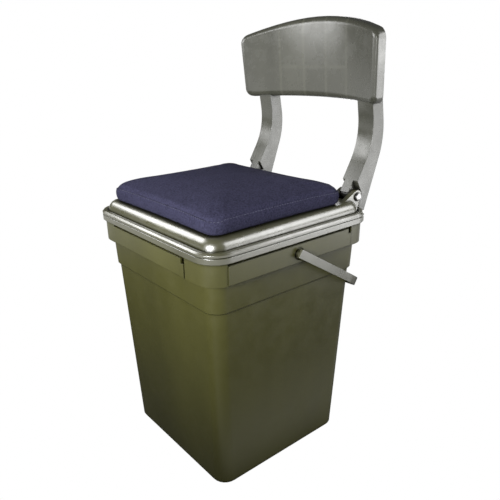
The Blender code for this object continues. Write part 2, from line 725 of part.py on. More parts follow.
# Hinge pins
def hinge_pins():
    for sign, side in ((-1, "left"), (1, "right")):
        turn = sideways(sign)
        face = EAR_OUT + REST_GAP
        seat = face + WASHER_T + REST_GAP
        tail = -(EAR_OUT + REST_GAP + RETAINER_T / 2)
        dome = [(PIN_HEAD_R * sin(radians(a)), seat + PIN_HEAD_RIM + PIN_HEAD_DOME * cos(radians(a)))
                for a in (0, 30, 60, 90)]
        pin = dome + [(PIN_HEAD_R, seat), (PIN_R, seat), (PIN_R, tail), (0.0, tail)]
        place = (sign * HINGE_X, *PIN_YZ)
        finish(turned("hinge_pin_" + side, pin, place, turn), LID_SEAT, STEEL)
        washer = [(PIN_R + TURN_PLAY, face + WASHER_T), (WASHER_R, face + WASHER_T), (WASHER_R, face),
                  (PIN_R + TURN_PLAY, face)]
        finish(turned("pin_washer_" + side, washer, place, turn), LID_SEAT, BLACK_NYLON)
        cap_in = -(EAR_OUT + REST_GAP)
        cap_out = cap_in - RETAINER_T
        bore = PIN_R + REST_GAP
        cap = [(0.0, tail - REST_GAP), (bore, tail - REST_GAP), (bore, cap_in), (RETAINER_R, cap_in),
               (RETAINER_R, cap_in - RETAINER_T / 2), (RETAINER_TIP_R, cap_out), (0.0, cap_out)]
        finish(turned("pin_retainer_" + side, cap, place, turn), LID_SEAT, STEEL)


# Backrest arms
def arm_outline():
    """Side of an arm: front edge from the knuckle up, over the head, down the rear to the heel."""
    lean = ARM_LEAN_DEG
    foot = toward(PIN_YZ, 180 - lean, ARM_FRONT_OFFSET)
    front_centre = (PIN_Y + ARM_FRONT_Y - ARM_FRONT_R, PIN_Z + front_edge_top())
    front = arc(front_centre, ARM_FRONT_R, -lean, ARM_HEAD_DEG)
    rear_centre = (PIN_Y + ARM_REAR_Y - ARM_REAR_R, PIN_Z + ARM_REAR_TOP_Z)
    rear = arc(rear_centre, ARM_REAR_R, ARM_HEAD_DEG, -ARM_REAR_LEAN_DEG)
    top_z = PIN_Z + ARM_TOP_Z
    slope = tan(radians(ARM_HEAD_DEG))
    top_front = (front[-1][0] - (top_z - front[-1][1]) * slope, top_z)
    top_rear = (rear[0][0] - (top_z - rear[0][1]) * slope, top_z)
    heel_z = PIN_Z - HEEL_DROP
    heel_rear = (rear[-1][0] - (rear[-1][1] - heel_z) * tan(radians(ARM_REAR_LEAN_DEG)), heel_z)
    under_knuckle = PIN_Z - sqrt(KNUCKLE_R ** 2 - (HEEL_Y - PIN_Y) ** 2)
    heel = [heel_rear, (HEEL_Y, heel_z), (HEEL_Y, under_knuckle)]
    knuckle = [PIN_YZ, toward(PIN_YZ, 180 - lean, KNUCKLE_R - WEB_T)]
    return [foot] + front + [top_front, top_rear] + rear + heel + knuckle


def front_edge_top():
    """Height above the pin where the front edge is upright, from the lower arm's straight front."""
    lean = radians(ARM_LEAN_DEG)
    straight_y = ARM_FRONT_Y - ARM_FRONT_R * (1 - cos(lean))
    along = (straight_y + ARM_FRONT_OFFSET * cos(lean)) / sin(lean)
    return along * cos(lean) + (ARM_FRONT_R + ARM_FRONT_OFFSET) * sin(lean)


def head_back(z):
    """Rear face of the arm's solid head, behind the panel's inner face at the arm's inner edge."""
    return panel_face_y(ARM_X - ARM_W / 2, z) + PANEL_T_ALONG + REST_GAP + HEAD_PAD_T


def crossing(first, first_distance, second, second_distance):
    """Where two lines meet, each given by the direction it faces and its distance from the pin."""
    first = radians(first)
    second = radians(second)
    across = first_distance * sin(second) - second_distance * sin(first)
    up = second_distance * cos(first) - first_distance * cos(second)
    spread = sin(second - first)
    return (PIN_Y + across / spread, PIN_Z + up / spread)


def arm_cavity():
    """Space between an arm's flanges, open to the rear, with a wall left behind the ears."""
    lean = ARM_LEAN_DEG
    hinge_wall = ear_clearance_bend(WEB_T)
    corner = crossing(180 - lean, ARM_FRONT_OFFSET - WEB_T, CUT_DEG, EAR_R + EAR_PLAY + WEB_T)
    front_centre = (PIN_Y + ARM_FRONT_Y - ARM_FRONT_R, PIN_Z + front_edge_top())
    web = arc(front_centre, ARM_FRONT_R + WEB_T, -lean, 0)
    low_z = PANEL_LOW_Z
    top_z = PIN_Z + ARM_TOP_Z + BLEND
    behind = PIN_Y + ARM_REAR_Y + ARM_W
    head = [(head_back(low_z), low_z), (head_back(top_z), top_z)]
    under = PIN_Z - HEEL_DROP - BLEND
    rear = [(behind, top_z), (behind, under), (HEEL_Y + WEB_T, under)]
    return [corner] + web + head + rear + hinge_wall


def ear_clearance_bend(extra=0.0):
    """Round part of the space that the ears need, from the heel up."""
    clear_r = EAR_R + EAR_PLAY + extra
    start = -acos((HEEL_Y + extra - PIN_Y) / clear_r) * 180 / pi
    return arc(PIN_YZ, clear_r, start, CUT_DEG)


def ear_clearance():
    """Space in front of a flange that the ear and the lid need, also when the arm folds."""
    bend = ear_clearance_bend()
    up = toward(bend[-1], CUT_DEG + 90, ARM_FRONT_R)
    low = PIN_Z - HEEL_DROP - BLEND
    front = PIN_Y - ARM_FRONT_R
    return [(bend[0][0], low)] + bend + [up, (front, up[1]), (front, low)]


def backrest_arm(sign, side):
    x = sign * ARM_X
    arm = extrude("backrest_arm_" + side, [arm_outline()], ARM_W, SIDE_VIEW, x)
    boolean(arm, extrude("arm_cavity", [arm_cavity()], ARM_W - 2 * FLANGE_T, SIDE_VIEW, x))
    hinge = sign * HINGE_X
    for edge in (-1, 1):
        near = hinge + edge * TONGUE_W / 2
        far = x + edge * (ARM_W / 2 + BLEND)
        boolean(arm, extrude("ear_space", [ear_clearance()], abs(far - near), SIDE_VIEW, (near + far) / 2))
    boolean(arm, panel_front_block("arm_head_trim", REST_GAP, PANEL_LOW_Z - PANEL_LOW_ARCH))
    half = (TONGUE_W - SIDE_PLAY) / 2
    knuckle = rods("knuckle", KNUCKLE_R, [((hinge - half, *PIN_YZ), (hinge + half, *PIN_YZ))], TURN_TO_X)
    boolean(arm, knuckle, "UNION")
    bore = rods("knuckle_bore", PIN_R + TURN_PLAY, [((x - ARM_W, *PIN_YZ), (x + ARM_W, *PIN_YZ))], TURN_TO_X)
    boolean(arm, bore)
    through = screw_spans(sign, -ARM_W, ARM_W / 2)
    boolean(arm, rods("boss_holes", BOSS_R + BOSS_PLAY, through, TURN_TO_REAR))
    head_room = screw_spans(sign, 0.0, ARM_W / 2)
    boolean(arm, rods("spot_faces", SCREW_HEAD_R + BOSS_PLAY, head_room, TURN_TO_REAR))
    return finish(arm, FOLD_AXIS, GREY_OLIVE)


# Back panel
def panel_face_y(x, z):
    """Front face of the panel in plan and lean."""
    return PANEL_END_Y + PANEL_BOW * (1 - (x / PANEL_HALF) ** 2) - PANEL_LEAN * (z - PANEL_LOW_Z)


def bend_panel(shape):
    """Flare, arch, bow and lean a panel that was drawn flat, with its depth along Y."""
    for vert in shape.verts:
        x, depth, z = vert.co
        rise = (z - PANEL_LOW_Z) / PANEL_H
        x *= 1 + PANEL_FLARE * rise
        bow = 1 - (x / PANEL_HALF) ** 2
        z += bow * (PANEL_LOW_ARCH * (1 - rise) + PANEL_TOP_ARCH * rise)
        vert.co = (x, depth + panel_face_y(x, z), z)


def slice_across(shape, half):
    for i in range(1, PANEL_SLICES):
        x = -half + 2 * half * i / PANEL_SLICES
        everything = shape.verts[:] + shape.edges[:] + shape.faces[:]
        bmesh.ops.bisect_plane(shape, geom=everything, dist=0.00001, plane_co=(x, 0, 0), plane_no=(1, 0, 0))


def panel_block(half, low, high, near, far):
    """Flat block: half width, lower and upper height, near and far depth."""
    shape = bmesh.new()
    place = Matrix.Translation((0.0, (near + far) / 2, (low + high) / 2))
    place = place @ Matrix.Diagonal((2 * half, far - near, high - low, 1.0))
    bmesh.ops.create_cube(shape, size=1.0, matrix=place)
    return shape


def panel_form(inset, far):
    """Bent panel with rounded corners and front edges, drawn in by an inset."""
    low = PANEL_LOW_Z + inset
    shape = panel_block(PANEL_HALF - inset, low, PANEL_LOW_Z + PANEL_H - inset, inset, far)
    corners = [e for e in shape.edges if abs(e.verts[0].co.y - e.verts[1].co.y) > far / 2]
    bmesh.ops.bevel(shape, geom=corners, offset=PANEL_CORNER_R - inset, segments=CORNER_STEPS, profile=0.5,
                    affect="EDGES", clamp_overlap=True)
    front = [e for e in shape.edges if max(v.co.y for v in e.verts) < inset + REST_GAP]
    bmesh.ops.bevel(shape, geom=front, offset=PANEL_EDGE_R - inset, segments=4, profile=0.5,
                    affect="EDGES", clamp_overlap=True)
    slice_across(shape, PANEL_HALF)
    bend_panel(shape)
    bmesh.ops.recalc_face_normals(shape, faces=shape.faces)
    shape.normal_update()
    return shape


def panel_front_block(name, gap, low):
    """Everything in front of the panel's inner face, with a gap to it."""
    margin = PANEL_CORNER_R
    half = PANEL_HALF + margin
    shape = panel_block(half, low, PANEL_LOW_Z + PANEL_H + margin, -PANEL_BOW, PANEL_T_ALONG + gap)
    slice_across(shape, half)
    bend_panel(shape)
    return draw_bmesh(name, shape)


def panel_ribs():
    """Upright ribs and one level rib behind the panel's face."""
    core = draw_bmesh("panel_core", panel_form(PANEL_T / 2, PANEL_DEPTH - RIB_SETBACK))
    low = PANEL_LOW_Z - PANEL_EDGE_R
    high = PANEL_LOW_Z + PANEL_H + PANEL_TOP_ARCH + PANEL_EDGE_R
    level = PANEL_LOW_Z + PANEL_H / 2
    half_t = RIB_T / 2
    side = RIB_OUTER_X + half_t
    loops = [[(-side, low), (side, low), (side, high), (-side, high)]]
    columns = ((-RIB_OUTER_X, -RIB_INNER_X), (-RIB_INNER_X, RIB_INNER_X), (RIB_INNER_X, RIB_OUTER_X))
    for left, right in columns:
        for under, over in ((low + RIB_T, level - half_t), (level + half_t, high - RIB_T)):
            loops.append([(left + half_t, under), (right - half_t, under), (right - half_t, over),
                          (left + half_t, over)])
    depth = 2 * (PANEL_BOW + PANEL_DEPTH)
    ribs = extrude("panel_ribs", loops, depth, FRONT_VIEW, -PANEL_END_Y)
    boolean(ribs, core, "INTERSECT")
    return ribs


def screw_places(sign):
    """Each screw as (x, height of its axis, depth of the seat its head rests on)."""
    places = []
    for rise in (SCREW_LOW, SCREW_HIGH):
        z = PANEL_LOW_Z + rise
        places.append((sign * ARM_X, z, head_back(z)))
    return places


def screw_spans(sign, near, far):
    """Bars along the screws' axes, from and to a distance behind the heads' seats."""
    return [((x, seat + near, z), (x, seat + far, z)) for x, z, seat in screw_places(sign)]


def back_panel():
    shape = panel_form(0.0, PANEL_DEPTH)
    rear = [face for face in shape.faces if face.normal.y > cos(pi / 4)]
    bmesh.ops.delete(shape, geom=rear, context="FACES_ONLY")
    panel = draw_bmesh("back_panel", shape)
    shell = panel.modifiers.new("shell", "SOLIDIFY")
    shell.thickness = PANEL_T
    shell.offset = -1.0
    shell.use_even_offset = True
    boolean(panel, panel_ribs(), "UNION")
    for sign in (-1, 1):
        x = sign * ARM_X
        half = ARM_W / 2 + 2 * REST_GAP
        far = PIN_Y + ARM_REAR_Y + ARM_W
        passage = boxes("arm_passage", [((x - half, PIN_Y, PANEL_LOW_Z - PANEL_EDGE_R),
                                         (x + half, far, PANEL_LOW_Z + PANEL_EDGE_R + BLEND))])
        boolean(passage, panel_front_block("passage_front", REST_GAP / 2, PANEL_LOW_Z - 2 * PANEL_EDGE_R))
        boolean(panel, passage)
        spans = []
        for bx, z, seat in screw_places(sign):
            spans.append(((bx, panel_face_y(bx, z) + BOSS_ROOT, z), (bx, seat - REST_GAP, z)))
        boolean(panel, rods("screw_bosses", BOSS_R, spans, TURN_TO_REAR), "UNION")
        boolean(panel, rods("screw_holes", SCREW_R + REST_GAP, screw_spans(sign, -SCREW_L - REST_GAP, BLEND),
                            TURN_TO_REAR))
    return finish(panel, FOLD_AXIS, GREY_OLIVE)


def panel_screws():
    for sign, side in ((-1, "left"), (1, "right")):
        for level, (x, z, seat) in zip(("lower", "upper"), screw_places(sign)):
            under = REST_GAP
            top = under + SCREW_HEAD_H
            flange = under + SCREW_FLANGE_T
            profile = [(0.0, top), (SCREW_CROWN_R, top), (SCREW_CROWN_R, flange), (SCREW_HEAD_R, flange),
                       (SCREW_HEAD_R, under), (SCREW_R, under), (SCREW_R, -SCREW_L), (0.0, -SCREW_L)]
            made = turned("panel_screw_" + side + "_" + level, profile, (x, seat, z), TURN_TO_REAR)
            finish(made, FOLD_AXIS, STEEL)


clear_scene()
PARTS = new_collection("fishing_bucket_seat")
CUTTERS = new_collection("cutters")
OLIVE = new_material("olive_plastic", (0.071, 0.078, 0.028), 0.42)
OLIVE_LID = new_material("olive_lid_plastic", (0.090, 0.098, 0.050), 0.32)
GREY_OLIVE = new_material("grey_olive_plastic", (0.120, 0.122, 0.095), 0.38)
NAVY_CLOTH = new_material("navy_brushed_cloth", (0.030, 0.030, 0.058), 0.95)
BLACK_TAPE = new_material("black_tape", (0.012, 0.012, 0.013), 0.90)
BLACK_NYLON = new_material("black_nylon", (0.010, 0.010, 0.010), 0.50)
STEEL = new_material("bright_steel", (0.72, 0.72, 0.72), 0.22, 1.0)
ROOT = new_empty("bucket_axis", (0.0, AXIS_Y, 0.0))
BAIL_AXIS = new_empty("bail_axis", (0.0, AXIS_Y, BAIL_Z))
LID_SEAT = new_empty("lid_seat", (0.0, AXIS_Y, RIM_Z))
FOLD_AXIS = new_empty("fold_axis", (0.0, AXIS_Y + PIN_Y, PIN_Z))

bucket_shell()
bail_handle()
lid_shell()
seat_cushion()
tapes()
hinge_pins()
backrest_arm(-1, "left")
backrest_arm(1, "right")
back_panel()
panel_screws()
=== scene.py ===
"""Looks of the fishing bucket seat: finishes, the sewn seat cushion, studio and camera."""
import json
import math

import bmesh
import bpy
from mathutils import Matrix, Vector
from mathutils.kdtree import KDTree
from mathutils.noise import noise as perlin


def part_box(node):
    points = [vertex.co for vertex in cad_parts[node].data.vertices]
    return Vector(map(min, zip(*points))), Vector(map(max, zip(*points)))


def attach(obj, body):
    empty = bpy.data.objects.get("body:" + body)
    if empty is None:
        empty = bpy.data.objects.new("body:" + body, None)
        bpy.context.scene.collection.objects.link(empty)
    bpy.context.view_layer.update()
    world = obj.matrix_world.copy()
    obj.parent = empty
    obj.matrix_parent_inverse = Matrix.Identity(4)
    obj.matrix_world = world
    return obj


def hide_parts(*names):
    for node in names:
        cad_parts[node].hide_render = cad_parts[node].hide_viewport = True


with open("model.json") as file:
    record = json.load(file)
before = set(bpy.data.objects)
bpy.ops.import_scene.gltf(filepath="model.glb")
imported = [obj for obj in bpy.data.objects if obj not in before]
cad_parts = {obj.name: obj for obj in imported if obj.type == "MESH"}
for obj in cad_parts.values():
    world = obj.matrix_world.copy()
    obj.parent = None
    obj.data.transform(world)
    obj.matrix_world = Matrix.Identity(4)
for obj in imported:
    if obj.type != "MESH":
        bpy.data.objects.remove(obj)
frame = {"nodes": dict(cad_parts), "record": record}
NODES = frame["nodes"]
SCENE = bpy.context.scene
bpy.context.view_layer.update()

# Camera, in the picture's own pixels
IMAGE_PX = 500
FOCAL_PX = 538.56
CENTRE_PX = (230.8, 250.7)
SENSOR_MM = 36.0
CAMERA_PLACE = Vector((0.6186, -0.5114, 0.5925))
CAMERA_AZIMUTH = math.radians(51.907)
CAMERA_ELEVATION = math.radians(20.122)
CAMERA_ROLL = math.radians(-1.373)

# Colours, linear
OLIVE = (0.062, 0.0605, 0.0155)
OLIVE_LID = (0.058, 0.057, 0.026)
GREY_OLIVE = (0.052, 0.0525, 0.040)
NAVY = (0.030, 0.0295, 0.054)
BLACK = (0.012, 0.012, 0.013)
STEEL = (0.78, 0.78, 0.77)
THREAD = (0.058, 0.058, 0.088)

# Noises are (scale per metre, detail, roughness). A range is the part of a noise that shows, a share is how
# much of it is mixed in, and a tone makes a colour darker or paler.
PLASTIC_IOR = 1.6
LID_IOR = 1.95
FLOW_RANGE = (0.32, 0.68)
FLOW_TONES = (0.84, 1.15)
MOTTLE = (85.0, 4.0, 0.6)
MOTTLE_RANGE = (0.45, 0.8)
MOTTLE_SHARE = 0.35
MOTTLE_TONE = 1.25
EDGE_ROUND = 0.0007
EDGE_TURN = (0.90, 0.995)      # agreement of rounded and flat normals, from a worn edge to a plain face
WEAR_RANGE = (0.4, 0.75)
WEAR_SHARE = 0.5
WEAR_PALER = 0.05
# Painted shade: within this reach, ambient occlusion darkens the colour and lowers the shine in narrow gaps
# and creases.
CREVICE = 0.007
CREVICE_RANGE = (0.45, 0.9)
PAINTED_CREVICE_SHADE = 0.2
CREVICE_SHINE = 0.15
SMUDGE = (38.0, 5.0, 0.65)
SMUDGE_RANGE = (0.3, 0.7)
SMUDGE_GLOSS = (-0.05, 0.09)
FINE_GRAIN = (1500.0, 2.0, 0.6)
GRAIN_DEPTH = 0.0004
SCUFFS = (260.0, 2.0, 0.5)
SCUFF_STRETCH = (1.0, 0.12, 1.0)
SCUFF_RANGE = (0.68, 0.75)
SCUFF_HEIGHT = 1.5
SHADE_SAMPLES = 6

# Sink marks over the ribs behind the back panel's face
SINK_RIBS = (0.0233, 0.070)
SINK_Z = 0.5696
SINK_HALF = 0.0030
SINK_LEVEL = 0.7
SINK_TONE = 1.5
SINK_RANGE = (0.35, 0.65)
SINK_FAINTEST = 0.25

# Steel
STEEL_EDGE = 0.0003
TARNISH = (420.0, 3.0, 0.5)
TARNISH_RANGE = (0.4, 0.75)
TARNISH_SHARE = 0.5
TARNISH_TONE = 0.72
TARNISH_GLOSS = 0.12
TURNING_MARKS = (2600.0, 1.0, 0.5)
TURNING_STRETCH = (1.0, 0.1, 0.1)
TURNING_STRENGTH = 0.06
TURNING_DEPTH = 0.0001

# Cloth
FIBRE = (430.0, 4.0, 0.8)
FIBRE_RANGE = (0.3, 0.7)
FIBRE_TONES = (0.4, 1.65)
KNIT_SCALE = 950.0
NAP = (60.0, 4.0, 0.6)
NAP_RANGE = (0.4, 0.75)
NAP_SHARE = 0.35
NAP_TONE = 1.5
CLOTH_ROUGHNESS = 0.93
CLOTH_SHINE = 0.02
SHEEN_ROUGHNESS = 0.45
SHEEN_TINT = (0.62, 0.62, 0.85)
PILE_DEPTH = 0.0006

# Shading of the rigid pieces
WELD = 1e-6
SHARP_ANGLE = math.radians(32)
NORMAL_WEIGHT = 80

# Seat pad: its outline, and its section from the underside up to the seam and over the top
LOW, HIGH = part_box("seat_cushion")
PAD_MID = ((LOW.x + HIGH.x) / 2, (LOW.y + HIGH.y) / 2)
PAD_HALF = ((HIGH.x - LOW.x) / 2, (HIGH.y - LOW.y) / 2)
PAD_Z = LOW.z
PAD_CORNER = 0.020
PAD_PULL = 0.0018
SIDE_STEPS = 56
CORNER_STEPS = 14
QUARTER = SIDE_STEPS + CORNER_STEPS
COLUMNS = 4 * QUARTER
UNDER_STEPS = 6
LOW_ROUND = 0.007
LOW_STEPS = 4
BAND_STEPS = 7
BAND_SWELL = 0.0006
HIGH_ROUND = 0.0035
HIGH_STEPS = 4
HIGH_SWEEP = math.radians(62)
SEAM_Z = 0.4062
SEAM_GAP = 0.0018
SEAM_DEPTH = 0.0014
TOP_STEPS = 26
TOP_RISE = 0.0145
TOP_FLAT = 4.5
TOP_ROUND = 0.5
TOP_SHIFT = 0.6                # of each row towards the middle, in steps

# Cloth simulation of the pad
VOXEL = 0.005
CLOTH_FRAMES = 20
CLOTH_SETTINGS = {"quality": 6, "mass": 0.2, "tension_stiffness": 12.0, "compression_stiffness": 12.0,
                  "shear_stiffness": 5.0, "bending_stiffness": 0.4, "use_pressure": True,
                  "uniform_pressure_force": 4.0}
PUFF_CAP = 0.005
NO_MOVE = 1e-9
NEAR_POINTS = 5

# Gathers along the seam
PUCKER = 0.0002
PUCKER_CORNER = 0.0006
PUCKER_REACH = 0.006
PUCKER_WAVES = ((0.37, 3.7, 1.0), (0.851, 9.1, 0.5))   # rate per column, row of the noise, height
CORNER_SPREAD = 1.4
CORNER_DIP = 0.0022
DIP_REACH = 4 * PUCKER_REACH

# Topstitching
STITCH_PITCH = 0.0046
STITCH_SHARE = 0.72
STITCH_RINGS = 6
STITCH_SIDES = 6
STITCH_ROWS_DOWN = 2           # rows of the pad below the seam
STITCH_ARCH = 1.3              # these three in thread radii
STITCH_SINK = 0.5
STITCH_TIP = 0.45
STITCH_LOOK = 0.05             # part of a pitch, ahead and back, that gives a stitch's direction
THREAD_R = 0.00045

# Studio. Mirrored shares are how white the surroundings look in a glossy surface.
FILL_LIGHT = 0.03
FLOOR_HALF = 6.0
FLOOR_Z = -0.0005
FLOOR_TONE = 0.15
MIRRORED_WALLS = 0.05
MIRRORED_FLOOR = 0.9
MIRRORED_FADE = (0.72, 1.25)
# Painted shadow and painted light on the floor, seen only in reflections: dark around this middle, and a
# painted pool of light in the strip below.
PAINTED_SHADOW_MIDDLE = (-0.1, -0.1, 0.0)
STRIP_SHARE = 0.3
STRIP_START = (0.12, 0.17)
STRIP_END = (0.20, 0.32)
WHITE = (1.0, 1.0, 1.0, 1.0)
# Soft boxes: name, place, target, size, watts, spread in degrees
SOFT_BOXES = (
    ("left", (-0.38, -0.30, 0.68), (0.0, -0.13, 0.385), (0.36, 0.28), 1.75, 180),
    ("front", (0.38, -0.88, 0.62), (0.0, 0.0, 0.52), (0.4, 0.3), 3.5, 75),
    ("right_back", (1.05, 0.85, 0.28), (0.0, 0.0, 0.4), (0.8, 0.55), 5.0, 180),
    ("shoulder", (0.44, 0.34, 0.68), (0.13, 0.0, 0.39), (0.45, 0.32), 1.85, 180),
    ("back", (-0.45, 1.2, 0.5), (0.0, 0.15, 0.45), (0.7, 0.7), 7.0, 180),
)


def put(tree, kind, inputs=None, **settings):
    """One shader node: settings are its own, inputs are values or other nodes' sockets."""
    made = tree.nodes.new("ShaderNode" + kind)
    for name, value in settings.items():
        setattr(made, name, value)
    for name, value in (inputs or {}).items():
        feed(tree, made.inputs[name], value)
    return made


def feed(tree, socket, value):
    """Links another node's socket to this one, or sets a plain value on it."""
    if isinstance(value, bpy.types.NodeSocket):
        tree.links.new(value, socket)
    else:
        socket.default_value = value


def calc(tree, operation, *values):
    """The result of one sum, product or the like on values or sockets."""
    return put(tree, "Math", dict(enumerate(values)), operation=operation).outputs[0]


def new_shader(name):
    """An empty node material with its surface shader and the piece's own coordinates."""
    material = bpy.data.materials.new(name)
    material.use_nodes = True
    tree = material.node_tree
    tree.nodes.clear()
    surface = put(tree, "BsdfPrincipled")
    out = put(tree, "OutputMaterial", {"Surface": surface.outputs["BSDF"]})
    out.is_active_output = True
    place = put(tree, "TexCoord").outputs["Object"]
    return material, tree, surface.inputs, place


def grain_noise(tree, place, scale, detail=2.0, rough=0.5, stretch=None):
    """Noise in 1/metre, from 0 to 1, drawn out along an axis where stretch says so."""
    if stretch:
        place = put(tree, "Mapping", {"Vector": place, "Scale": stretch}).outputs["Vector"]
    made = put(tree, "TexNoise", {"Vector": place, "Scale": scale, "Detail": detail, "Roughness": rough})
    return made.outputs["Fac"]


def spread(tree, value, low, high, start=0.0, end=1.0):
    """A value taken from one range to another, held at the ends."""
    made = put(tree, "MapRange", {"Value": value, "From Min": start, "From Max": end,
                                  "To Min": low, "To Max": high})
    return made.outputs["Result"]


def tint(tree, factor, first, second):
    """Two colours mixed by a factor. Each is a plain colour or another node's socket."""
    made = put(tree, "Mix", data_type="RGBA")
    for socket, value in ((0, factor), (6, first), (7, second)):
        feed(tree, made.inputs[socket], value)
    return made.outputs[2]


def opaque(colour, share=1.0):
    """A colour with its alpha, made lighter or darker."""
    return (*[channel * share for channel in colour], 1.0)


def edges(tree, radius):
    """Normals rounded over the edges, and how far they turn there."""
    rounded = put(tree, "Bevel", {"Radius": radius}, samples=SHADE_SAMPLES).outputs["Normal"]
    flat = put(tree, "NewGeometry").outputs["Normal"]
    agree = put(tree, "VectorMath", {0: rounded, 1: flat}, operation="DOT_PRODUCT").outputs["Value"]
    return rounded, spread(tree, agree, 1.0, 0.0, *EDGE_TURN)


def sink_band(tree, value, middle):
    """1 on a line where the value is at the middle, and 0 beyond the mark's half width."""
    away = calc(tree, "ABSOLUTE", calc(tree, "SUBTRACT", value, middle))
    return spread(tree, away, 1.0, 0.0, SINK_HALF / 2, SINK_HALF)


def rib_sinks(tree, place, flow):
    """Faint marks on the panel's face over the ribs behind it: two pairs of upright ones and a level one."""
    axes = put(tree, "SeparateXYZ", {"Vector": place}).outputs
    across = calc(tree, "ABSOLUTE", axes["X"])
    inside = spread(tree, across, SINK_LEVEL, 0.0, SINK_RIBS[-1], SINK_RIBS[-1] + SINK_HALF)
    marks = calc(tree, "MULTIPLY", inside, sink_band(tree, axes["Z"], SINK_Z))
    for rib in SINK_RIBS:
        marks = calc(tree, "MAXIMUM", marks, sink_band(tree, across, rib))
    return calc(tree, "MULTIPLY", marks, spread(tree, flow, SINK_FAINTEST, 1.0, *SINK_RANGE))


def plastic(name, colour, gloss, grain=0.05, shine=0.5, ior=PLASTIC_IOR, streaks=(9.0, 0.45), sinks=False):
    """Moulded plastic: flow streaks, smudges, grain, edges rubbed pale and painted shade in the narrow gaps.

    Streaks are (how many in a metre, scale along Z): the smaller the scale, the longer they are."""
    material, tree, inputs, place = new_shader(name)
    feed(tree, inputs["IOR"], ior)
    rounded, worn = edges(tree, EDGE_ROUND)
    flow = grain_noise(tree, place, streaks[0], stretch=(1.0, 1.0, streaks[1]))
    mottle = grain_noise(tree, place, *MOTTLE)
    dark, pale = [opaque(colour, tone) for tone in FLOW_TONES]
    base = tint(tree, spread(tree, flow, 0.0, 1.0, *FLOW_RANGE), dark, pale)
    blotches = spread(tree, mottle, 0.0, MOTTLE_SHARE, *MOTTLE_RANGE)
    base = tint(tree, blotches, base, opaque(colour, MOTTLE_TONE))
    if sinks:
        base = tint(tree, rib_sinks(tree, place, flow), base, opaque(colour, SINK_TONE))
    patchy = calc(tree, "MULTIPLY", worn, spread(tree, mottle, 0.0, WEAR_SHARE, *WEAR_RANGE))
    base = tint(tree, patchy, base, opaque([channel + WEAR_PALER for channel in colour]))
    # Painted shade: the colour darkens and the shine drops where ambient occlusion finds narrow gaps and
    # creases.
    shade = put(tree, "AmbientOcclusion", {"Distance": CREVICE}, samples=SHADE_SAMPLES).outputs["AO"]
    shade = spread(tree, shade, 0.0, 1.0, *CREVICE_RANGE)
    feed(tree, inputs["Base Color"], tint(tree, shade, opaque(colour, PAINTED_CREVICE_SHADE), base))
    feed(tree, inputs["Specular IOR Level"], spread(tree, shade, shine * CREVICE_SHINE, shine))
    smudge = grain_noise(tree, place, *SMUDGE)
    smooth, dull = [gloss + change for change in SMUDGE_GLOSS]
    feed(tree, inputs["Roughness"], spread(tree, smudge, smooth, dull, *SMUDGE_RANGE))
    fine = grain_noise(tree, place, *FINE_GRAIN)
    scuffs = grain_noise(tree, place, *SCUFFS, SCUFF_STRETCH)
    marks = calc(tree, "ADD", fine, spread(tree, scuffs, 0.0, SCUFF_HEIGHT, *SCUFF_RANGE))
    bump = put(tree, "Bump", {"Height": marks, "Strength": grain, "Distance": GRAIN_DEPTH, "Normal": rounded})
    feed(tree, inputs["Normal"], bump.outputs["Normal"])
    return material


def metal(name, colour, gloss):
    """Bright plated steel with turning marks and faint tarnish."""
    material, tree, inputs, place = new_shader(name)
    rounded, _ = edges(tree, STEEL_EDGE)
    cloud = grain_noise(tree, place, *TARNISH)
    tarnish = spread(tree, cloud, 0.0, TARNISH_SHARE, *TARNISH_RANGE)
    feed(tree, inputs["Base Color"], tint(tree, tarnish, opaque(colour), opaque(colour, TARNISH_TONE)))
    feed(tree, inputs["Metallic"], 1.0)
    feed(tree, inputs["Roughness"], spread(tree, cloud, gloss, gloss + TARNISH_GLOSS))
    lines = grain_noise(tree, place, *TURNING_MARKS, TURNING_STRETCH)
    bump = put(tree, "Bump", {"Height": lines, "Strength": TURNING_STRENGTH, "Distance": TURNING_DEPTH,
                              "Normal": rounded})
    feed(tree, inputs["Normal"], bump.outputs["Normal"])
    return material


def cloth(name, colour, pile, sheen):
    """Brushed cloth: short fibres, a fine knit under them and patches of lying nap."""
    material, tree, inputs, place = new_shader(name)
    fibre = grain_noise(tree, place, *FIBRE)
    knit = put(tree, "TexVoronoi", {"Vector": place, "Scale": KNIT_SCALE}).outputs["Distance"]
    nap = grain_noise(tree, place, *NAP)
    dark, pale = [opaque(colour, tone) for tone in FIBRE_TONES]
    base = tint(tree, spread(tree, fibre, 0.0, 1.0, *FIBRE_RANGE), dark, pale)
    base = tint(tree, spread(tree, nap, 0.0, NAP_SHARE, *NAP_RANGE), base, opaque(colour, NAP_TONE))
    feed(tree, inputs["Base Color"], base)
    feed(tree, inputs["Roughness"], CLOTH_ROUGHNESS)
    feed(tree, inputs["Specular IOR Level"], CLOTH_SHINE)
    feed(tree, inputs["Sheen Weight"], sheen)
    feed(tree, inputs["Sheen Roughness"], SHEEN_ROUGHNESS)
    feed(tree, inputs["Sheen Tint"], opaque(SHEEN_TINT))
    height = calc(tree, "ADD", fibre, knit)
    bump = put(tree, "Bump", {"Height": height, "Strength": pile, "Distance": PILE_DEPTH})
    feed(tree, inputs["Normal"], bump.outputs["Normal"])
    return material


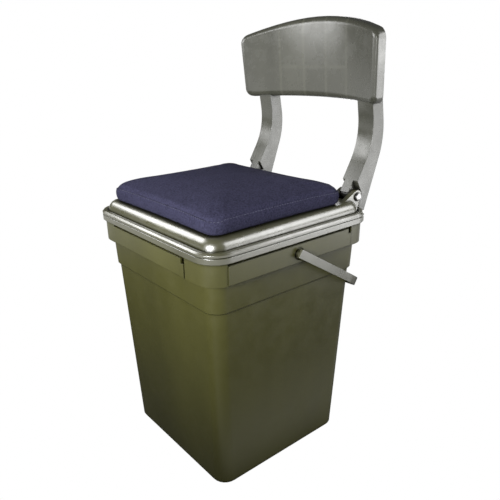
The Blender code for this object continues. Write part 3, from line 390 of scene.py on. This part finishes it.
def soft_shading():
    """A modifier's nodes: joins the triangles, then shades smooth except over sharp edges."""
    tree = bpy.data.node_groups.new("soft_shading", "GeometryNodeTree")
    tree.interface.new_socket("Geometry", in_out="INPUT", socket_type="NodeSocketGeometry")
    tree.interface.new_socket("Geometry", in_out="OUTPUT", socket_type="NodeSocketGeometry")
    start = tree.nodes.new("NodeGroupInput")
    join = tree.nodes.new("GeometryNodeMergeByDistance")
    join.inputs["Distance"].default_value = WELD
    smooth = tree.nodes.new("GeometryNodeSetShadeSmooth")
    angle = tree.nodes.new("GeometryNodeInputMeshEdgeAngle")
    sharp = tree.nodes.new("FunctionNodeCompare")
    sharp.operation = "GREATER_THAN"
    sharp.inputs["B"].default_value = SHARP_ANGLE
    split = tree.nodes.new("GeometryNodeSetShadeSmooth")
    split.domain = "EDGE"
    split.inputs["Shade Smooth"].default_value = False
    end = tree.nodes.new("NodeGroupOutput")
    for out, into in ((start.outputs[0], join.inputs["Geometry"]),
                      (join.outputs["Geometry"], smooth.inputs["Geometry"]),
                      (smooth.outputs["Geometry"], split.inputs["Geometry"]),
                      (angle.outputs["Unsigned Angle"], sharp.inputs["A"]),
                      (sharp.outputs["Result"], split.inputs["Selection"]),
                      (split.outputs["Geometry"], end.inputs[0])):
        tree.links.new(out, into)
    return tree


def dress(node, material, shading):
    """A CAD node's finish: its material, and shading that follows its form."""
    piece = NODES[node]
    piece.data.materials.clear()
    piece.data.materials.append(material)
    piece.modifiers.new("soft_shading", "NODES").node_group = shading
    weigh = piece.modifiers.new("even_normals", "WEIGHTED_NORMAL")
    weigh.keep_sharp = True
    weigh.weight = NORMAL_WEIGHT


def outline(half_x, half_y, radius, pull):
    """A round-cornered rectangle, anticlockwise from its right side, with sides drawn in by pull."""
    points = []
    for corner in range(4):
        turn = Matrix.Rotation(corner * math.pi / 2, 2)
        along, across = (half_y, half_x) if corner % 2 == 0 else (half_x, half_y)
        straight = along - radius
        for step in range(SIDE_STEPS):
            share = 2.0 * step / SIDE_STEPS - 1.0
            points.append(turn @ Vector((across - pull * (1.0 - share ** 2), straight * share)))
        for step in range(CORNER_STEPS):
            angle = step / CORNER_STEPS * math.pi / 2
            points.append(turn @ Vector((across - radius + radius * math.cos(angle),
                                         straight + radius * math.sin(angle))))
    return points


def pad_rows():
    """The pad's section from the middle of its underside to the middle of its top: (inset, share, height).

    Inset moves a row in from the outline and share then shrinks it towards the middle."""
    rows = [(LOW_ROUND, step / UNDER_STEPS, PAD_Z) for step in range(1, UNDER_STEPS)]
    for step in range(LOW_STEPS + 1):
        angle = step / LOW_STEPS * math.pi / 2
        rows.append((LOW_ROUND * (1 - math.sin(angle)), 1.0, PAD_Z + LOW_ROUND * (1 - math.cos(angle))))
    low, high = PAD_Z + LOW_ROUND, SEAM_Z - HIGH_ROUND
    for step in range(1, BAND_STEPS):
        share = step / BAND_STEPS
        rows.append((-BAND_SWELL * math.sin(share * math.pi), 1.0, low + (high - low) * share))
    for step in range(HIGH_STEPS + 1):
        angle = step / HIGH_STEPS * HIGH_SWEEP
        rows.append((HIGH_ROUND * (1 - math.cos(angle)), 1.0, high + HIGH_ROUND * math.sin(angle)))
    inset, _, level = rows[-1]
    rows.append((inset + SEAM_GAP / 2, 1.0, level - SEAM_DEPTH))
    inset += SEAM_GAP
    level += SEAM_DEPTH / 2
    rows.append((inset, 1.0, level))
    for step in range(TOP_STEPS, 0, -1):
        share = math.sin((step - TOP_SHIFT) / TOP_STEPS * math.pi / 2)
        rows.append((inset, share, level + TOP_RISE * (1.0 - share ** TOP_FLAT) ** TOP_ROUND))
    return rows


def pad_mesh(name, rows):
    """The closed pad as rows of quads, with a strip of quads across the middle of each end."""
    mesh = bpy.data.meshes.new(name)
    verts, faces = [], []
    for inset, share, level in rows:
        for spot in outline(PAD_HALF[0] - inset, PAD_HALF[1] - inset, PAD_CORNER - inset, PAD_PULL):
            verts.append((PAD_MID[0] + spot.x * share, PAD_MID[1] + spot.y * share, level))
    for row in range(len(rows) - 1):
        base, above = row * COLUMNS, (row + 1) * COLUMNS
        for column in range(COLUMNS):
            after = (column + 1) % COLUMNS
            faces.append((base + column, base + after, above + after, above + column))
    top = (len(rows) - 1) * COLUMNS
    for near in range(COLUMNS // 2 - 1):
        far = COLUMNS - 1 - near
        faces.append((near, far, far - 1, near + 1))
        faces.append((top + near, top + near + 1, top + far - 1, top + far))
    mesh.from_pydata(verts, [], faces)
    piece = bpy.data.objects.new(name, mesh)
    SCENE.collection.objects.link(piece)
    return piece


def applied(piece):
    """The piece's mesh with its modifiers, as it stands at this frame."""
    graph = bpy.context.evaluated_depsgraph_get()
    return bpy.data.meshes.new_from_object(piece.evaluated_get(graph))


def puffed_moves(pad):
    """Cloth under pressure, held at the seam and underneath: where its points start, and how far they go."""
    trial = pad.copy()
    trial.data = pad.data.copy()
    SCENE.collection.objects.link(trial)
    remesh = trial.modifiers.new("remesh", "REMESH")
    remesh.mode = "VOXEL"
    remesh.voxel_size = VOXEL
    mesh = applied(trial)
    trial.modifiers.clear()
    trial.data = mesh
    starts = [vertex.co.copy() for vertex in mesh.vertices]
    held = trial.vertex_groups.new(name="held")
    for index, spot in enumerate(starts):
        edge = max(abs(spot.x - PAD_MID[0]) - PAD_HALF[0], abs(spot.y - PAD_MID[1]) - PAD_HALF[1])
        at_seam = abs(spot.z - SEAM_Z) < VOXEL and edge > -2 * VOXEL
        if at_seam or spot.z < PAD_Z + VOXEL / 2:
            held.add([index], 1.0, "REPLACE")
    fabric = trial.modifiers.new("cloth", "CLOTH")
    for setting, value in CLOTH_SETTINGS.items():
        setattr(fabric.settings, setting, value)
    fabric.settings.vertex_group_mass = held.name
    fabric.settings.effector_weights.gravity = 0.0
    fabric.point_cache.frame_start = 1
    fabric.point_cache.frame_end = CLOTH_FRAMES
    for now in range(1, CLOTH_FRAMES + 1):
        SCENE.frame_set(now)
    moves = []
    for start, vertex in zip(starts, applied(trial).vertices):
        move = vertex.co - start
        moves.append(move * min(1.0, PUFF_CAP / max(move.length, NO_MOVE)))
    SCENE.frame_set(1)
    bpy.data.objects.remove(trial)
    return starts, moves


def puff(pad):
    """Moves the pad's own rows as the cloth moved, and keeps the underside flat."""
    starts, moves = puffed_moves(pad)
    near = KDTree(len(starts))
    for index, start in enumerate(starts):
        near.insert(start, index)
    near.balance()
    for vertex in pad.data.vertices:
        total, weight = Vector(), 0.0
        for _, index, distance in near.find_n(vertex.co, NEAR_POINTS):
            share = 1.0 / (distance + VOXEL / 4) ** 2
            total += moves[index] * share
            weight += share
        vertex.co += total / weight
        vertex.co.z = max(vertex.co.z, PAD_Z)


def pucker(pad, rows, seam_row):
    """Gathers along the seam: small waves, deeper at the corners, where the seam also pulls the top down."""
    mesh = pad.data
    line = [mesh.vertices[seam_row * COLUMNS + column].co.copy() for column in range(COLUMNS)]
    normals = [vertex.normal.copy() for vertex in mesh.vertices]
    middle = SIDE_STEPS + CORNER_STEPS / 2
    for row in range(UNDER_STEPS, rows):
        for column in range(COLUMNS):
            vertex = mesh.vertices[row * COLUMNS + column]
            reach = (vertex.co - line[column]).length
            fade = math.exp(-(reach / PUCKER_REACH) ** 2)
            corner = max(0.0, 1.0 - abs(column % QUARTER - middle) / (CORNER_STEPS * CORNER_SPREAD))
            wave = sum(height * perlin(Vector((column * rate, noise_row, 0.0)))
                       for rate, noise_row, height in PUCKER_WAVES)
            move = normals[vertex.index] * wave * (PUCKER + corner * PUCKER_CORNER) * fade
            above = min(max((vertex.co.z - PAD_Z) / (SEAM_Z - PAD_Z), 0.0), 1.0)
            move.z -= corner * CORNER_DIP * above ** 2 * math.exp(-(reach / DIP_REACH) ** 2)
            vertex.co += move


def stitches(pad, row):
    """One row of thread stitches on a row of the pad, each a short bent tube that dips at its ends."""
    line = [pad.data.vertices[row * COLUMNS + column] for column in range(COLUMNS)]
    lengths = [0.0]
    for column in range(COLUMNS):
        lengths.append(lengths[-1] + (line[(column + 1) % COLUMNS].co - line[column].co).length)
    count = round(lengths[-1] / STITCH_PITCH)
    pitch = lengths[-1] / count
    angles = [turn * math.tau / STITCH_SIDES for turn in range(STITCH_SIDES)]

    def spot(along):
        along %= lengths[-1]
        column = max(index for index in range(COLUMNS) if lengths[index] <= along)
        share = (along - lengths[column]) / (lengths[column + 1] - lengths[column])
        first, second = line[column], line[(column + 1) % COLUMNS]
        return first.co.lerp(second.co, share), first.normal.lerp(second.normal, share).normalized()

    form = bmesh.new()
    for stitch in range(count):
        rings = []
        for step in range(STITCH_RINGS):
            share = step / (STITCH_RINGS - 1)
            along = (stitch + (share - 0.5) * STITCH_SHARE) * pitch
            place, out = spot(along)
            look = pitch * STITCH_LOOK
            ahead = (spot(along + look)[0] - spot(along - look)[0]).normalized()
            side = ahead.cross(out)
            bow = math.sin(share * math.pi)
            middle = place + out * (THREAD_R * (STITCH_ARCH * bow - STITCH_SINK))
            radius = THREAD_R * (STITCH_TIP + (1.0 - STITCH_TIP) * bow ** 0.5)
            rings.append([form.verts.new(middle + (out * math.cos(angle) + side * math.sin(angle)) * radius)
                          for angle in angles])
        for first, second in zip(rings, rings[1:]):
            for turn in range(STITCH_SIDES):
                after = (turn + 1) % STITCH_SIDES
                form.faces.new((first[turn], first[after], second[after], second[turn]))
        form.faces.new(rings[0][::-1])
        form.faces.new(rings[-1])
    bmesh.ops.recalc_face_normals(form, faces=form.faces)
    made = bpy.data.meshes.new("seat_topstitch")
    form.to_mesh(made)
    form.free()
    made.shade_smooth()
    piece = bpy.data.objects.new("seat_topstitch", made)
    SCENE.collection.objects.link(piece)
    return piece


def seat(cover, thread):
    """The sewn seat pad and its row of topstitching, in place of the plain padded solid."""
    rows = pad_rows()
    seam_row = len(rows) - TOP_STEPS - 2
    pad = pad_mesh("seat_pad", rows)
    puff(pad)
    pad.data.update()
    pucker(pad, len(rows), seam_row)
    pad.data.update()
    topstitch = stitches(pad, seam_row - STITCH_ROWS_DOWN)
    pad.data.shade_smooth()
    subdivide = pad.modifiers.new("subdivision", "SUBSURF")
    subdivide.levels = subdivide.render_levels = 1
    pad.data.materials.append(cover)
    topstitch.data.materials.append(thread)
    for piece in (pad, topstitch):
        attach(piece, "lid")
    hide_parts("seat_cushion")


def lamp(name, place, target, size, power, spread_deg):
    """A soft box at a place, turned to a target, out of the camera's sight."""
    light = bpy.data.lights.new(name, "AREA")
    light.shape = "RECTANGLE"
    light.size, light.size_y = size
    light.energy = power
    light.spread = math.radians(spread_deg)
    holder = bpy.data.objects.new(name, light)
    SCENE.collection.objects.link(holder)
    holder.location = place
    holder.visible_camera = False
    holder.rotation_mode = "QUATERNION"
    holder.rotation_quaternion = (Vector(target) - Vector(place)).to_track_quat("-Z", "Y")


def seen_white(tree, mirrored):
    """How white a surface is: all white to the camera, a share for mirrored rays, 0 for other light."""
    path = put(tree, "LightPath").outputs
    gloss = calc(tree, "MULTIPLY", path["Is Glossy Ray"], mirrored)
    return calc(tree, "MAXIMUM", path["Is Camera Ray"], gloss)


def mirrored_floor(tree):
    """The floor's share in mirrored rays: white far off, a painted pool of light in a strip beside the
    bucket, and else dark as a painted shadow.
    """
    place = put(tree, "TexCoord").outputs["Object"]
    # Painted shadow near the bucket and a painted pool of light in the strip, for mirrored rays only.
    away = put(tree, "VectorMath", {0: place, 1: PAINTED_SHADOW_MIDDLE}, operation="DISTANCE").outputs["Value"]
    far = spread(tree, away, 0.0, MIRRORED_FLOOR, *MIRRORED_FADE)
    across = put(tree, "SeparateXYZ", {"Vector": place}).outputs["X"]
    strip = calc(tree, "MULTIPLY", spread(tree, across, 0.0, 1.0, *STRIP_START),
                 spread(tree, across, STRIP_SHARE, 0.0, *STRIP_END))
    return calc(tree, "MAXIMUM", far, strip)


def studio():
    """White floor, white surroundings and the soft boxes."""
    SCENE.view_settings.view_transform = "Standard"
    world = bpy.data.worlds.new("studio")
    SCENE.world = world
    world.use_nodes = True
    tree = world.node_tree
    tree.nodes.clear()
    fill = put(tree, "Background", {"Color": WHITE, "Strength": FILL_LIGHT})
    white = put(tree, "Background", {"Color": WHITE, "Strength": 1.0})
    share = seen_white(tree, MIRRORED_WALLS)
    mixed = put(tree, "MixShader", {0: share, 1: fill.outputs[0], 2: white.outputs[0]})
    put(tree, "OutputWorld", {"Surface": mixed.outputs[0]})
    sheet = bpy.data.meshes.new("floor")
    half = FLOOR_HALF
    sheet.from_pydata([(-half, -half, 0), (half, -half, 0), (half, half, 0), (-half, half, 0)], [],
                      [(0, 1, 2, 3)])
    floor = bpy.data.objects.new("floor", sheet)
    SCENE.collection.objects.link(floor)
    floor.location.z = FLOOR_Z
    material = bpy.data.materials.new("floor")
    material.use_nodes = True
    tree = material.node_tree
    tree.nodes.clear()
    matte = put(tree, "BsdfDiffuse", {"Color": opaque((FLOOR_TONE,) * 3)})
    lit = put(tree, "Emission", {"Color": WHITE, "Strength": 1.0})
    share = seen_white(tree, mirrored_floor(tree))
    both = put(tree, "MixShader", {0: share, 1: matte.outputs[0], 2: lit.outputs[0]})
    put(tree, "OutputMaterial", {"Surface": both.outputs[0]})
    sheet.materials.append(material)
    for box in SOFT_BOXES:
        lamp(*box)


def camera():
    """The picture's own camera."""
    a, e, r = CAMERA_AZIMUTH, CAMERA_ELEVATION, CAMERA_ROLL
    ahead = Vector((-math.sin(a) * math.cos(e), math.cos(a) * math.cos(e), -math.sin(e)))
    level = Vector((math.cos(a), math.sin(a), 0.0))
    upright = level.cross(ahead)
    right = level * math.cos(r) + upright * math.sin(r)
    up = upright * math.cos(r) - level * math.sin(r)
    data = bpy.data.cameras.new("camera")
    data.sensor_width = SENSOR_MM
    data.lens = FOCAL_PX * SENSOR_MM / IMAGE_PX
    data.shift_x = 0.5 - CENTRE_PX[0] / IMAGE_PX
    data.shift_y = CENTRE_PX[1] / IMAGE_PX - 0.5
    holder = bpy.data.objects.new("camera", data)
    SCENE.collection.objects.link(holder)
    turn = Matrix((right, up, -ahead)).transposed().to_4x4()
    holder.matrix_world = Matrix.Translation(CAMERA_PLACE) @ turn
    SCENE.camera = holder


studio()
camera()
FINISHES = {
    "olive_plastic": plastic("olive_plastic", OLIVE, gloss=0.34),
    "olive_lid_plastic": plastic("olive_lid_plastic", OLIVE_LID, gloss=0.29, grain=0.015, shine=1.0,
                                 ior=LID_IOR),
    "grey_olive_plastic": plastic("grey_olive_plastic", GREY_OLIVE, gloss=0.25, grain=0.018, shine=0.75,
                                  streaks=(13.0, 0.14), sinks=True),
    "bright_steel": metal("bright_steel", STEEL, gloss=0.22),
    "black_nylon": plastic("black_nylon", BLACK, gloss=0.45),
    "black_tape": cloth("black_tape", BLACK, pile=0.5, sheen=0.1),
    "navy_brushed_cloth": cloth("navy_brushed_cloth", NAVY, pile=0.6, sheen=0.015),
}
SHADING = soft_shading()
for subpart in frame["record"]["subparts"]:
    dress(subpart["node"], FINISHES[subpart["material_slot"]], SHADING)
seat(FINISHES["navy_brushed_cloth"], cloth("pale_thread", THREAD, pile=0.3, sheen=0.2))
